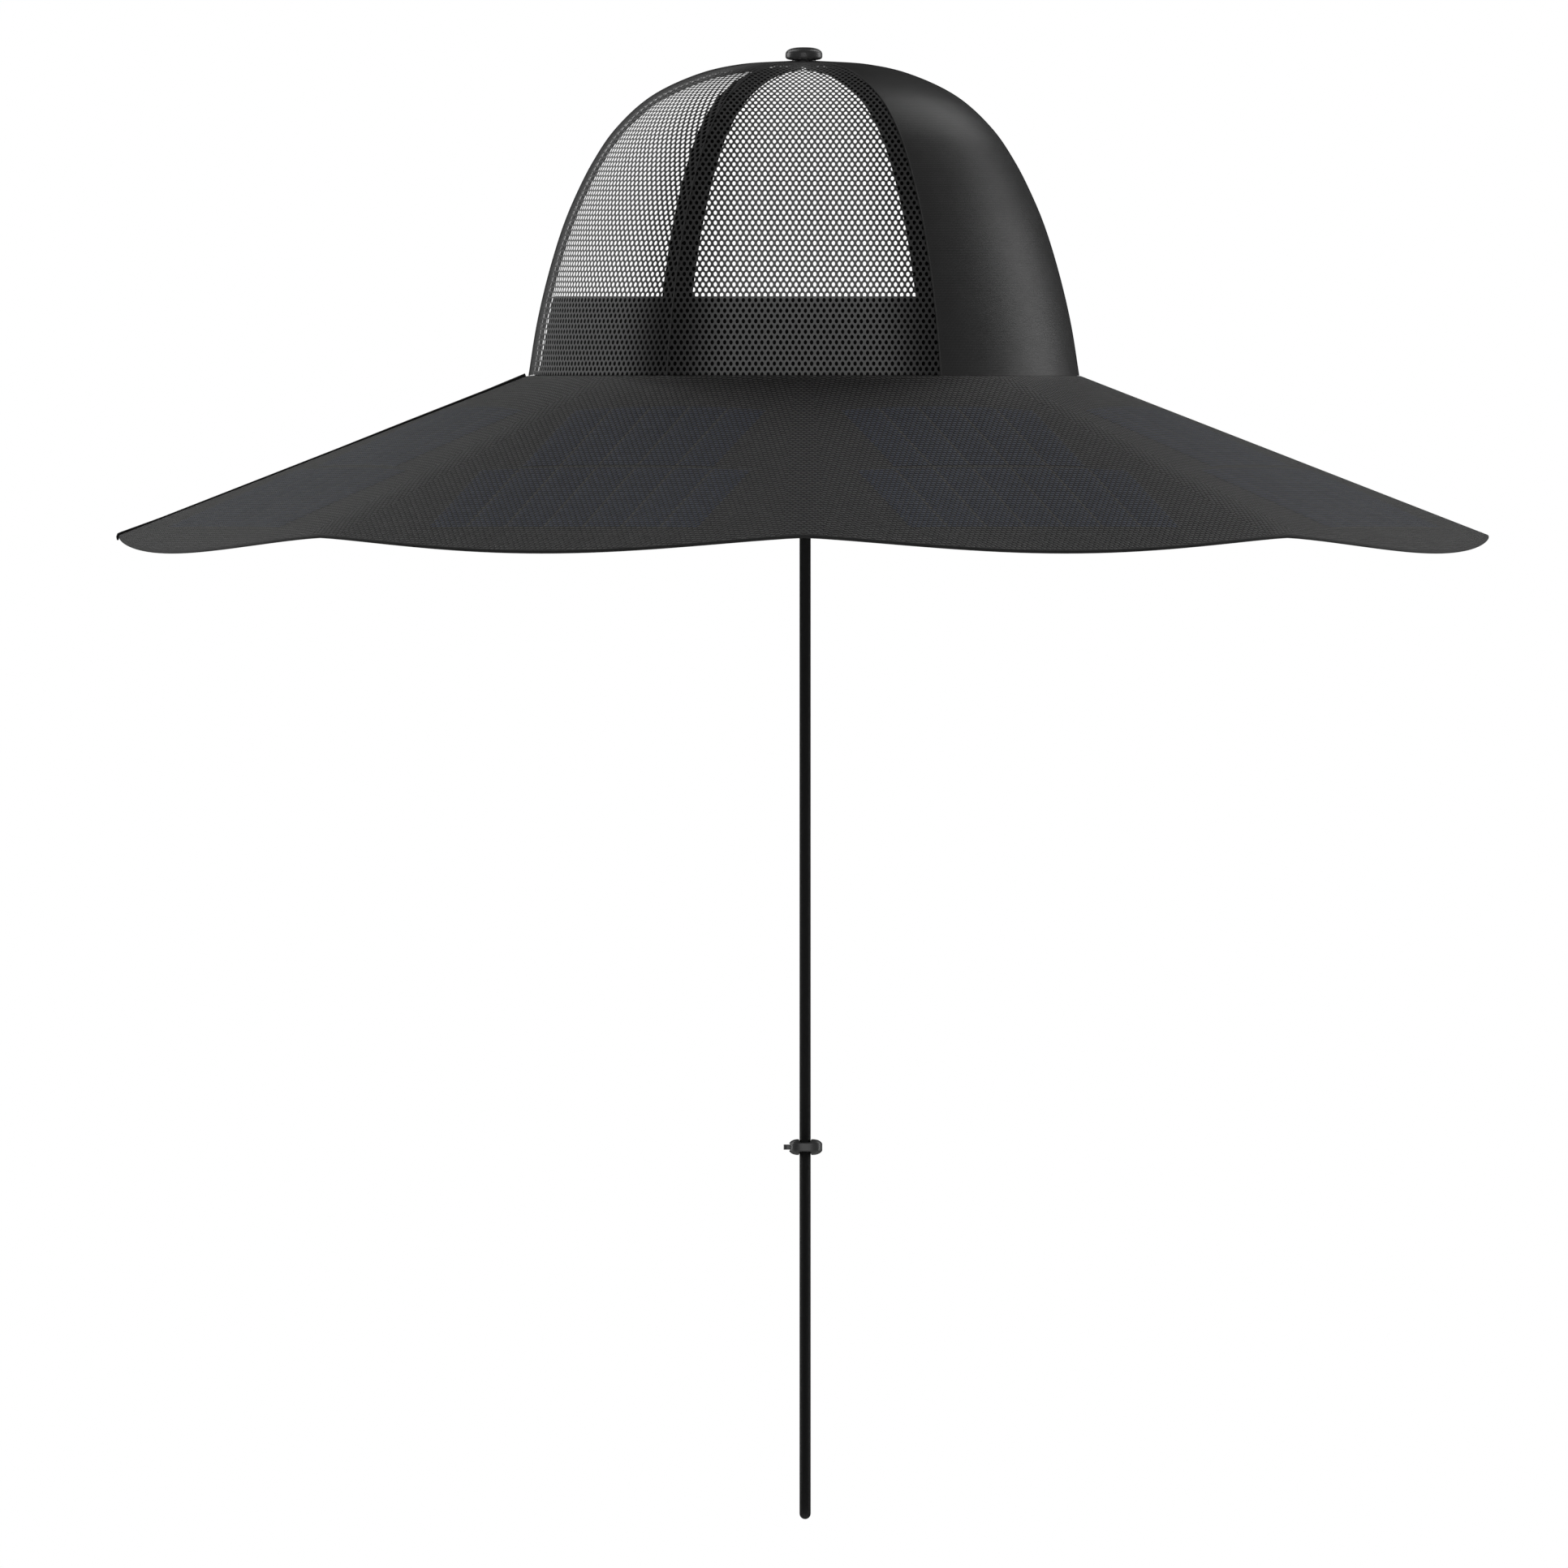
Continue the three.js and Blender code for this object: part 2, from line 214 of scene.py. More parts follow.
# %% A curve through points
def smooth_line(knots, steps):
    """Cubic pieces from knot to knot. The slope at a knot is the slope before it plus the slope
    after it less the slope across both, with square roots of the distances as times."""
    knots = np.asarray(knots, float)
    ends = [2 * knots[:1] - knots[1:2], knots, 2 * knots[-1:] - knots[-2:-1]]
    padded = np.concatenate(ends)
    leaps = np.diff(padded, axis=0)
    times = np.sqrt(np.linalg.norm(leaps, axis=1))[:, None]
    across = (padded[2:] - padded[:-2]) / (times[:-1] + times[1:])
    slopes = (leaps / times)[:-1] + (leaps / times)[1:] - across
    spans = times[1:-1]
    t = (np.arange(steps) / steps)[None, :, None]
    start, end = knots[:-1, None], knots[1:, None]
    leave, arrive = (slopes[:-1] * spans)[:, None], (slopes[1:] * spans)[:, None]
    line = (
        (2 * t**3 - 3 * t**2 + 1) * start
        + (t**3 - 2 * t**2 + t) * leave
        + (3 * t**2 - 2 * t**3) * end
        + (t**3 - t**2) * arrive
    )
    return np.concatenate([line.reshape(-1, knots.shape[1]), knots[-1:]])


def lengths_along(line):
    """The distance travelled from the line's first point to each of its points."""
    return np.concatenate([[0], np.cumsum(np.linalg.norm(np.diff(line, axis=0), axis=1))])


# %% [markdown]
# ## The chin cord
# The real cord is round and braided. Its two ends are sewn in at the sweatband, both halves pass
# through the lock, and below it they hang as one narrow loop. A bevelled curve would do, but a
# mesh tube lets the braid follow the cord by its own UV map.

# %% The cord's route, from its left end to the bottom of its loop
cord_diameter = 0.0041
cord_sides = 20
cord_x = 0.00045
cord_route = np.array([
    (0.0930, -0.0065), (0.0930, -0.0140), (0.0914, -0.0240), (0.0855, -0.0420),
    (0.0717, -0.0820), (0.0544, -0.1320), (0.0372, -0.1820), (0.0200, -0.2320),
    (0.0093, -0.2590), (0.0040, -0.2700), (0.0024, -0.2770), (0.0024, -0.2860),
    (0.0034, -0.3000), (0.0058, -0.3350), (0.0083, -0.3750), (0.0096, -0.3970),
    (0.0089, -0.4075), (0.0052, -0.4136), (0.0000, -0.41525),
])
far_half = cord_route[:-1][::-1] * np.array([-1, 1])
both_halves = np.concatenate([cord_route, far_half])
cord_line = np.insert(smooth_line(both_halves, steps=8), 0, cord_x, axis=1)


# %% The cord's tube
def flat_tube(line, radius, sides, square, hand=1):
    """Rings round a line that lies in one plane: centre + radius * (cos a * S + sin a * N), where
    S is square to the plane and N = S x (the line's direction), or the opposite for hand -1."""
    along = np.gradient(line, axis=0)
    along /= np.linalg.norm(along, axis=1)[:, None]
    normal = hand * np.cross(square, along)
    angle = angles(sides)
    square_way = np.array(square) * np.cos(angle)[:, None]
    round_way = square_way[None] + np.sin(angle)[None, :, None] * normal[:, None]
    rings = line[:, None] + np.broadcast_to(radius, len(line))[:, None, None] * round_way
    return rings, pairs_of(round_circle(sides, np.mean(radius)), lengths_along(line))


rings, uv = flat_tube(cord_line, cord_diameter / 2, cord_sides, (1.0, 0.0, 0.0))
faces, uvs = tube_faces(len(cord_line), cord_sides, uv)
chin_cord = new_piece("braided_chin_cord", rings, faces, uvs, "chin_cord", ["chin_cord"])

# %% [markdown]
# ## The cord lock
# The real lock is a small moulded pill with a spring button in a pocket at one end. Its body has
# a hole that both cords pass through. A cut through a solid would work, but here the pill is
# seen as a ring round that hole: one closed section, carried round from the hole's outline to
# the pill's outline. Where the pocket is, the section goes in and out again. The button keeps
# its hard part, and modifiers only round its edges.

# %% The lock's body
lock_height = -0.2815
lock_half = {"x": 0.0063, "y": 0.0085, "z": 0.00290}
lock_shift = 0.0002
hole_half = {"x": 0.00235, "y": 0.00475}
saddle = {"depth": 0.0014, "width": 0.0021, "power": 12}
pocket = {"half_height": 0.00125, "half_width": 0.0049, "end": -0.0020, "shallowest": 0.03}
profile_power = 2.4
outline_power = 3.2
hole_power = 4
profile_rows = 18
hole_rows = 4
lock_columns = 160


def superellipse(angle, half_x, half_y, power):
    """x = a |cos|^(2/n), y = b |sin|^(2/n), with the signs of the cosine and the sine."""
    ways = ((half_x, np.cos(angle)), (half_y, np.sin(angle)))
    return [half * np.sign(way) * np.abs(way) ** (2 / power) for half, way in ways]


def lock_rows():
    """Shares outwards and upwards: over the top, in and out of the pocket, under the bottom, and
    up the hole's wall. The two rows at the pocket's end are marked."""
    step = np.linspace(np.pi / 2, 0, profile_rows + 1)[:-1]
    out, high = superellipse(step, 1, 1, profile_power)
    edge = pocket["half_height"] / lock_half["z"]
    edge_out = (1 - edge**profile_power) ** (1 / profile_power)
    above = high > edge
    half_out = np.concatenate([out[above], [edge_out, edge_out]])
    half_high = np.concatenate([high[above], [edge, edge]])
    hole = np.linspace(-1, 1, hole_rows + 2)[1:-1]
    outwards = np.concatenate([half_out, half_out[::-1], 0 * hole])
    upwards = np.concatenate([half_high, -half_high[::-1], hole])
    at_end = np.zeros(len(outwards), bool)
    at_end[len(half_out) - 1:len(half_out) + 1] = True
    return outwards, upwards, at_end


outwards, upwards, at_end = lock_rows()
angle = angles(lock_columns)
hole_x, hole_y = superellipse(angle, hole_half["x"], hole_half["y"], hole_power)
body_x, body_y = superellipse(angle, lock_half["x"], lock_half["y"], outline_power)
body_x += lock_shift
wall = np.where(body_x < 0, hole_x - body_x, 1)
pocket_share = np.clip((hole_x - pocket["end"]) / wall, pocket["shallowest"], 1)
in_pocket = (body_x < 0) & (np.abs(body_y) < pocket["half_width"])
share = outwards[:, None] + 0 * angle
share = np.where(at_end[:, None] & in_pocket, pocket_share, share)
x = hole_x + share * (body_x - hole_x)
y = hole_y + share * (body_y - hole_y)
dip = 1 - saddle["depth"] / lock_half["z"] * np.exp(-((x / saddle["width"]) ** saddle["power"]))
flatter = np.clip(np.abs(upwards[:, None]) * 2 - 1, 0, 1)
z = upwards[:, None] * lock_half["z"] * (1 - flatter * (1 - dip))
points = np.stack([x + cord_x, y, z + lock_height], axis=-1)
uv_step = 0.0004
uv = pairs_of(np.arange(lock_columns + 1), np.arange(len(outwards) + 1)) * uv_step
faces, uvs = ring_faces(len(outwards), lock_columns, uv)
lock_body = new_piece("cord_lock_body", points, faces, uvs, "lock_plastic", ["lock_body"], sharp=50)

# %% The lock's push button
lock_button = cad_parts["lock_button"]
weld = lock_button.modifiers.new("weld", "WELD")
weld.merge_threshold = 0.00001
rounding = lock_button.modifiers.new("round edges", "BEVEL")
rounding.width = 0.00022
rounding.segments = 3
rounding.angle_limit = math.radians(40)
for place in lock_button.material_slots:
    place.material = finish_of("lock_plastic")

# %% [markdown]
# ## The crown's form
# A real crown is sewn from gores, which all share one outline from the base to the top. It could
# be modelled gore by gore, but it is simpler to describe the whole crown once: the outline's
# radius and height at a distance up it, and a depth under its outer face. Gores, net, seams and
# tapes then only say which part of that form they cover, so they fit each other by themselves.

# %% The outline of the crown
crown_outline = np.array([
    (0.1003, 0.0000), (0.0973, 0.0187), (0.0932, 0.0364), (0.0878, 0.0542),
    (0.0829, 0.0661), (0.0769, 0.0779), (0.0689, 0.0897), (0.0560, 0.1016),
    (0.0387, 0.1099), (0.0238, 0.1134), (0.0036, 0.1148),
])
outline = smooth_line(crown_outline, steps=40)
outline_lengths = lengths_along(outline)
crown_length = outline_lengths[-1]
outline_slope = np.gradient(outline, outline_lengths, axis=0)
gore_half = math.pi / 6
print("the crown's outline is", round(crown_length, 4), "m long")


def crown_radius(up):
    """The crown's radius at a distance up its outline."""
    return np.interp(up, outline_lengths, outline[:, 0])


def crown_point(azimuth, up, depth):
    """The outline's point at that distance, moved inwards square to it, and turned about Z."""
    slope_r = np.interp(up, outline_lengths, outline_slope[:, 0])
    slope_z = np.interp(up, outline_lengths, outline_slope[:, 1])
    radius = crown_radius(up) - depth * slope_z
    height = np.interp(up, outline_lengths, outline[:, 1]) + depth * slope_r
    return points_of(radius * np.cos(azimuth), radius * np.sin(azimuth), np.maximum(0, height))


# %% [markdown]
# ## The two woven front gores
# The front of the crown is plain, finely woven cloth. It is a wall of cloth thickness between
# two seams. Its UV map is measured in metres on the cloth, so that the weave keeps its real
# size where the gore narrows towards the top.

# %% Front gores
cloth = 0.0012
seam_gap = 0.00015

rows, columns = 81, 41
up = np.linspace(0, crown_length, rows)[:, None]
across = np.linspace(-1, 1, columns)[None]
half = gore_half - seam_gap / crown_radius(up)
azimuth = math.radians(330) + across * half
outer = crown_point(azimuth, up, 0.0)
inner = crown_point(azimuth, up, cloth)
uv = points_of(across * half * crown_radius(up), up)
gore = both_sides(outer, inner)
faces, uvs = wall_faces(rows, columns, uv)
from_seam = np.broadcast_to((across + 1) * half * crown_radius(up), (rows, columns)).ravel()
marks = {"from_seam": np.tile(from_seam, 2)}
new_piece("front_gore_right", gore, faces, uvs, "woven_cloth", ["crown_front_right"], marks)
new_piece("front_gore_left", mirrored(gore), faces, uvs, "woven_cloth", ["crown_front_left"], marks)

# %% [markdown]
# ## The four net gores
# The net is knitted, with oval holes in staggered rows. A picture with holes on a plain wall
# would look right only from afar, so each hole is cut into the mesh. The net is a lattice of
# six-sided cells, one round each hole. A cell goes from its border, where the thread is full, to
# the hole's rim, where it has thinned out, so the threads come out round. Neighbours share their
# borders. Where a cell crosses a seam, its points stop at the seam and the net thins out there.

# %% One cell of the net
net = {"across": 0.0022715, "up": 0.0019655, "first_row": 0.00056, "thickness": 0.00035}
net["widest"] = 0.06
hole = {"half_width": 0.00062, "half_height": 0.00086}
grid = {"step": 0.00001, "zero_x": 0.1, "shift": 0.137, "span": 100000}

corner_top = (net["across"] ** 2 / 4 + net["up"] ** 2) / (2 * net["up"])
corner_side = net["up"] - corner_top
side = net["across"] / 2
corner = np.array([
    (0, corner_top),
    (-side, corner_side),
    (-side, -corner_side),
    (0, -corner_top),
    (side, -corner_side),
    (side, corner_side),
])
between = (corner + np.roll(corner, -1, axis=0)) / 2
border = np.stack([corner, between], axis=1).reshape(-1, 2)
reach = np.hypot(border[:, 0] / hole["half_width"], border[:, 1] / hole["half_height"])
rim = border / reach[:, None]
count = len(border)

k = np.arange(count)
following = (k + 1) % count
outer_side = np.stack([k, following, 2 * count + following, 2 * count + k], axis=1)
inner_side = np.stack([count + following, count + k, 2 * count + k, 2 * count + following], axis=1)
four = np.concatenate([outer_side, inner_side])
cell_triangles = np.concatenate([four[:, [0, 1, 2]], four[:, [0, 2, 3]]])
print("one cell has", len(cell_triangles), "triangles")


# %% A whole gore of net
def net_gore(middle, spread):
    """Cells at (column + half of every second row) * across and row * up. A point's level is
    0 on the outer face, 2 on the inner face and 1 between them. Points with the same key, which
    counts their place in steps of the grid, are joined."""
    row_count = int(crown_length / net["up"]) + 2
    column_count = int(net["widest"] / net["across"])
    row, column = np.meshgrid(np.arange(row_count), np.arange(-column_count, column_count + 1))
    centre_x = ((column + (row % 2) / 2 + 0.25) * net["across"]).ravel()[:, None]
    centre_up = (net["first_row"] + row * net["up"]).ravel()[:, None]
    local = np.concatenate([border, border, rim])
    x = centre_x + local[:, 0]
    up = centre_up + local[:, 1]
    level = np.repeat([0, 2, 1], count) + np.zeros(x.shape, int)
    inside_up = np.clip(up, 0, crown_length)
    most = spread(crown_radius(inside_up), x)[0]
    inside_x = np.clip(x, -most, most)
    level[(inside_x != x) | (inside_up != up)] = 1
    steps_x = np.round((inside_x + grid["zero_x"]) / grid["step"] + grid["shift"]).astype(np.int64)
    steps_up = np.round(inside_up / grid["step"] + grid["shift"]).astype(np.int64)
    key = (steps_x * grid["span"] + steps_up) * 3 + level
    _, first, number = np.unique(key.ravel(), return_index=True, return_inverse=True)
    x, up, level = inside_x.ravel()[first], inside_up.ravel()[first], level.ravel()[first]
    triangles = number.reshape(key.shape)[:, cell_triangles].reshape(-1, 3)
    a, b, c = triangles.T
    thin = (level[a] == 1) & (level[b] == 1) & (level[c] == 1)
    triangles = triangles[(a != b) & (b != c) & (c != a) & ~thin]
    used, triangles = np.unique(triangles, return_inverse=True)
    triangles = triangles.reshape(-1, 3)
    x, up, level = x[used], up[used], level[used]
    reach, turn = spread(crown_radius(up), x)
    points = crown_point(middle + turn, up, level * net["thickness"] / 2)
    uv = np.stack([x, up], axis=-1)
    return points, [triangles], [uv[triangles]], {"from_seam": reach - np.abs(x)}


def hanging(radius, x):
    """A net with upright columns: half of it is r * sin(half its angle) wide, and a column
    keeps its x, so its angle is asin(x / r)."""
    return radius * np.sin(gore_half - seam_gap / radius), np.arcsin(np.clip(x / radius, -1, 1))


def wrapped(radius, x):
    """A net wrapped on: half of it is r * (half its angle) wide, and x is r times an angle."""
    return radius * gore_half - seam_gap, x / radius


for place, middle, spread in (("side", 270, hanging), ("rear", 210, wrapped)):
    points, faces, uvs, marks = net_gore(math.radians(middle), spread)
    for hand, spots in (("right", points), ("left", mirrored(points))):
        node = f"crown_{place}_{hand}"
        new_piece(f"{place}_net_{hand}", spots, faces, uvs, "net_cloth", [node], marks, sharp=75)

# %% [markdown]
# ## Seams, tapes, sweatband and top button
# Where two gores meet, the cloth's edges stand up a little as a fine ridge outside, and a woven
# tape covers the seam inside. The tapes show through the net as dark stripes. The sweatband is a
# folded band with a round top edge. All of these are bands or rings along the crown's form.

# %% Seam ridges outside and tapes inside
ridge = {"radius": 0.00030, "depth": 0.00005, "sides": 8, "rows": 121}
tape = {"half": 0.0062, "thickness": 0.0010, "depth": 0.0019, "low": 0.012, "high": 0.965}
tape.update({"gap": 0.0003, "rows": 61, "columns": 9})
seams = ("front", "front_left", "rear_left", "rear", "rear_right", "front_right")


def seam_ridge(azimuth):
    """A thin tube up the outline: points at a small angle round a line just under the face."""
    up = np.linspace(0, crown_length, ridge["rows"])[:, None]
    angle = angles(ridge["sides"])[None]
    turn = azimuth + ridge["radius"] * np.cos(angle) / crown_radius(up)
    depth = ridge["depth"] - ridge["radius"] * np.sin(angle)
    uv = pairs_of(np.arange(ridge["sides"] + 1) * ridge["radius"], up[:, 0])
    return crown_point(turn, up, depth), *tube_faces(ridge["rows"], ridge["sides"], uv)


def seam_tape(azimuth):
    """A strip of constant width, which narrows where six tapes meet at the top."""
    up = np.linspace(tape["low"], tape["high"], tape["rows"])[:, None] * crown_length
    across = np.linspace(-1, 1, tape["columns"])[None]
    room = (crown_radius(up) - tape["depth"]) * math.tan(gore_half) - tape["gap"]
    half = np.minimum(tape["half"], room)
    turn = azimuth + across * half / crown_radius(up)
    outer = crown_point(turn, up, tape["depth"])
    inner = crown_point(turn, up, tape["depth"] + tape["thickness"])
    faces_and_uvs = wall_faces(tape["rows"], tape["columns"], points_of(across * half, up))
    return both_sides(outer, inner), *faces_and_uvs


for i, label in enumerate(seams):
    azimuth = math.radians(i * 60)
    points, faces, uvs = seam_ridge(azimuth)
    new_piece(f"seam_ridge_{label}", points, faces, uvs, "net_cloth")
    points, faces, uvs = seam_tape(azimuth)
    new_piece(f"inner_tape_{label}", points, faces, uvs, "tape_cloth", [f"seam_tape_{label}"])


# %% Rings round the crown's axis
def turned(section, count):
    """A section of (radius, height) points carried round: x = r cos a, y = r sin a, z = h."""
    section = np.asarray(section, float)
    angle = angles(count)[None]
    radius, height = section[:, :1], section[:, 1:]
    return points_of(radius * np.cos(angle), radius * np.sin(angle), height)


def turned_uv(section, count, closed):
    """Distance round the ring, measured at its mean radius, and distance along the section."""
    section = np.asarray(section, float)
    if closed:
        section = np.concatenate([section, section[:1]])
    return pairs_of(round_circle(count, section[:, 0].mean()), lengths_along(section))


band = {"height": 0.029, "thickness": 0.0015, "inset": 0.00355, "top_inset": 0.0037}
band.update({"lip": 0.0983, "lip_height": 0.0012, "rows": 16, "fold_rows": 7, "sides": 240})
band_base = crown_outline[0, 0] - band["inset"]
band_top = crown_radius(band["height"]) - band["top_inset"]
share = np.linspace(0, 1, band["rows"])
outside = np.stack([band_base + share * (band_top - band_base), share * band["height"]], axis=1)
half_turn = np.linspace(0, np.pi, band["fold_rows"] + 2)[1:-1]
half_band = band["thickness"] / 2
fold = np.stack([
    band_top - half_band + half_band * np.cos(half_turn),
    band["height"] - half_band + half_band * np.sin(half_turn),
], axis=1)
outside = outside[outside[:, 1] < band["height"] - half_band]
inside = outside[::-1] - np.array([band["thickness"], 0])
lip_inside = (band_base - band["thickness"], 0)
lip = np.array([lip_inside, (band["lip"], 0), (band["lip"], band["lip_height"])])
section = np.concatenate([lip, outside[1:], fold, inside[:-1]])
faces, uvs = ring_faces(len(section), band["sides"], turned_uv(section, band["sides"], True))
points = turned(section, band["sides"])
new_piece("folded_sweatband", points, faces, uvs, "band_cloth", ["sweatband"])

# %% Top button
button = {"radius": 0.00675, "low": 0.1151, "high": 0.1199, "shank": 0.0043, "shank_low": 0.1126}
button.update({"widest": 0.4, "power_below": 4.0, "power_above": 2.6, "rows": 55, "sides": 72})
button.update({"hole_below": 0.0005, "hole_above": 0.0003})
middle = button["low"] + button["widest"] * (button["high"] - button["low"])
angle = np.linspace(-np.pi / 2, np.pi / 2, button["rows"] + 2)[1:-1]
power = np.where(angle < 0, button["power_below"], button["power_above"])
half_height = np.where(angle < 0, middle - button["low"], button["high"] - middle)
radius, height = superellipse(angle, button["radius"], half_height, power)
shank = [(button["hole_below"], button["shank_low"]), (button["shank"], button["shank_low"])]
shank.append((button["shank"], button["low"]))
dome = np.stack([radius, middle + height], axis=1)
dome = dome[(dome[:, 0] > button["shank"]) | (dome[:, 1] > middle)]
section = np.concatenate([shank, dome, [(button["hole_above"], button["high"])]])
faces, uvs = tube_faces(len(section), button["sides"], turned_uv(section, button["sides"], False))
points = turned(section, button["sides"])
new_piece("crown_button", points, faces, uvs, "lock_plastic", ["top_button"])

# %% [markdown]
# ## The folded brim
# The brim is one laminated sheet. It falls away in straight lines from the crown to the hem, and
# the hem dips between eight folds. The height is a function of the place seen from above, and
# every piece that lies on the brim uses the same function. The film's emboss runs straight in
# each panel between two folds, so the UV map is measured in each panel's own directions.

# %% The brim's height
brim = {"inner": 0.097, "outer": 0.2492, "hem": 0.250, "thickness": 0.0012, "rings": 38}
brim.update({"start": 0.0002, "drop": 0.0582, "dip": 0.0057, "wave_power": 1.25})
sector = math.pi / 4
slant = math.hypot(1, brim["drop"] / (brim["hem"] - crown_outline[0, 0]))


def brim_height(x, y):
    """Straight down from the crown's base to the hem. The hem is at drop + dip * |sin 4a|^power
    below the base, so it is highest at the folds, where a is a multiple of 45 degrees."""
    base = crown_outline[0, 0]
    out = np.maximum(0, (np.hypot(x, y) - base) / (brim["hem"] - base))
    wave = np.abs(np.sin(4 * np.arctan2(y, x))) ** brim["wave_power"]
    return brim["start"] - out * (brim["drop"] + brim["dip"] * wave + brim["start"])


def film_uv(x, y, middle):
    """Distance to the side of the panel's middle line, and distance down the slant."""
    side = y * np.cos(middle) - x * np.sin(middle)
    along = x * np.cos(middle) + y * np.sin(middle)
    return np.stack([side, along * slant], axis=-1)


# %% The sheet
columns_per_panel = 24
columns = 8 * columns_per_panel
radii = np.linspace(brim["inner"], brim["outer"], brim["rings"])
section_radius = np.concatenate([radii, radii[::-1]])
section_drop = np.repeat([0.0, brim["thickness"]], brim["rings"])
angle = angles(columns)[None]
x = section_radius[:, None] * np.cos(angle)
y = section_radius[:, None] * np.sin(angle)
points = np.stack([x, y, brim_height(x, y) - section_drop[:, None]], axis=-1)
faces = cells(numbered(len(section_radius), columns, True, True))
corner_points = points.reshape(-1, 3)[faces]
# The film is measured from its panel's middle line, but right beside a fold from that fold
column = np.arange(columns)
in_panel = column % columns_per_panel
beside_fold = [in_panel == 0, in_panel == columns_per_panel - 1]
folds = [column * sector / columns_per_panel, (column + 1) * sector / columns_per_panel]
middle = np.select(beside_fold, folds, (column // columns_per_panel + 0.5) * sector)
middle = np.tile(middle, len(section_radius))[:, None]
uvs = [film_uv(corner_points[..., 0], corner_points[..., 1], middle)]
sections = [f"brim_section_{i + 1}" for i in range(8)]
new_piece("folded_brim", points, [faces], uvs, "brim_film", sections, sharp=60)

# %% Hem band and rear piping
hem = {"half_width": 0.00070, "half_height": 0.00062, "lower": 0.00060, "sides": 16}
hem.update({"around": 256, "power": 2.6})
angle = angles(hem["sides"])
section_x, section_z = superellipse(angle, hem["half_width"], hem["half_height"], hem["power"])
section = np.stack([brim["hem"] - hem["half_width"] + section_x, section_z - hem["lower"]], axis=1)
points = turned(section, hem["around"])
points[..., 2] += brim_height(points[..., 0], points[..., 1])
faces, uvs = ring_faces(len(section), hem["around"], turned_uv(section, hem["around"], True))
new_piece("hem_band", points, faces, uvs, "binding_cloth", ["brim_binding"])

piping = {"start": 0.1015, "end": 0.2492, "rows": 60, "sides": 16, "sunk": 0.45}
piping_rows = np.array([
    (0.1015, 0.00085), (0.1150, 0.00062), (0.1450, 0.00056), (0.1700, 0.00042),
    (0.2350, 0.00038), (0.2440, 0.00055), (0.2492, 0.00065),
])
path_r = np.linspace(piping["start"], piping["end"], piping["rows"])
thick = np.interp(path_r, piping_rows[:, 0], piping_rows[:, 1])
path_z = brim_height(-path_r, 0 * path_r) + piping["sunk"] * thick
tip = np.array([(0.2501, -0.0004), (0.2504, -0.0012), (0.2504, -0.0024)])
tip_thickness = np.array([1.0, 0.95, 0.5])
tip[:, 1] += path_z[-1]
path = np.concatenate([np.stack([path_r, path_z], axis=1), tip])
path = np.stack([-path[:, 0], 0 * path[:, 0], path[:, 1]], axis=1)
thick = np.concatenate([thick, thick[-1] * tip_thickness])
rings, uv = flat_tube(path, thick, piping["sides"], (0.0, 1.0, 0.0), hand=-1)
faces, uvs = tube_faces(len(path), piping["sides"], uv)
new_piece("rear_piping", rings, faces, uvs, "piping_cord", ["brim_rear_piping"])

# %% [markdown]
# ## The solar panels
# Each panel has two blocks of cell strips under the film: five strips near the crown and seven
# near the hem. The strips run down the slant with thin gaps between them. One plate for each
# block is enough: its height follows a profile across, with a groove between two strips, times
# a profile along. The same profile marks where the cells are, for their colour.

# %% Cell strips
strip = {"width": 0.0153, "groove": 0.00020, "edge": 0.00040, "lift": 0.00006, "rise": 0.00003}
strip["rows"] = 12
blocks = [
    {"start": 0.1265, "end": 0.1770, "strips": 5},
    {"start": 0.1788, "end": 0.2303, "strips": 7},
]


def strip_profile(count):
    """Places across a block, and 0 in the grooves or 1 on the strips at each of them."""
    width, groove, edge = strip["width"], strip["groove"], strip["edge"]
    one = [0, groove, groove + edge, width / 3, 2 * width / 3]
    one += [width - groove - edge, width - groove]
    rises = [0, 0, 1, 1, 1, 1, 0]
    places = (np.arange(count)[:, None] * width + np.array(one)[None]).ravel()
    places = np.append(places, count * width) - count * width / 2
    return places, np.append(np.tile(rises, count), 0)


def end_profile(start, end):
    """Places along a block, and 0 at its ends or 1 between them at each of them."""
    groove, edge = strip["groove"], strip["edge"]
    inner = np.linspace(start + groove + edge, end - groove - edge, strip["rows"])
    places = np.concatenate([[start, start + groove], inner, [end - groove, end]])
    return places, np.concatenate([[0, 0], np.ones(strip["rows"]), [0, 0]])


def panel_block(middle, block):
    """A plate over the brim: x and y from the places across and along, z from brim_height."""
    across, up_across = strip_profile(block["strips"])
    along, up_along = end_profile(block["start"], block["end"])
    side, out = np.meshgrid(across, along)
    risen = up_along[:, None] * up_across[None]
    x = out * math.cos(middle) - side * math.sin(middle)
    y = out * math.sin(middle) + side * math.cos(middle)
    z = brim_height(x, y)
    outer = np.stack([x, y, z + strip["lift"] + strip["rise"] * risen], axis=-1)
    inner = np.stack([x, y, z + strip["lift"] / 3], axis=-1)
    faces, uvs = wall_faces(len(along), len(across), film_uv(x, y, middle))
    marks = np.concatenate([risen.ravel(), 0 * risen.ravel()])
    return both_sides(outer, inner), faces, uvs, marks


for i in range(8):
    points, faces, uvs, risen = [], [], [], []
    for block in blocks:
        shift = sum(len(part) for part in points)
        more = panel_block((i + 0.5) * sector, block)
        points.append(more[0])
        faces += [part + shift for part in more[1]]
        uvs += more[2]
        risen.append(more[3])
    marks = {"cell": np.concatenate(risen)}
    name, node = f"cell_strips_{i + 1}", f"solar_panel_{i + 1}"
    new_piece(name, np.concatenate(points), faces, uvs, "solar_cells", [node], marks)

# %% [markdown]
# ## The tabs that hold the cord
# The cord's ends go up into two short tabs of webbing on the sweatband. They are hidden under
# the brim, so they are plain: a flat section with round edges, carried straight up.

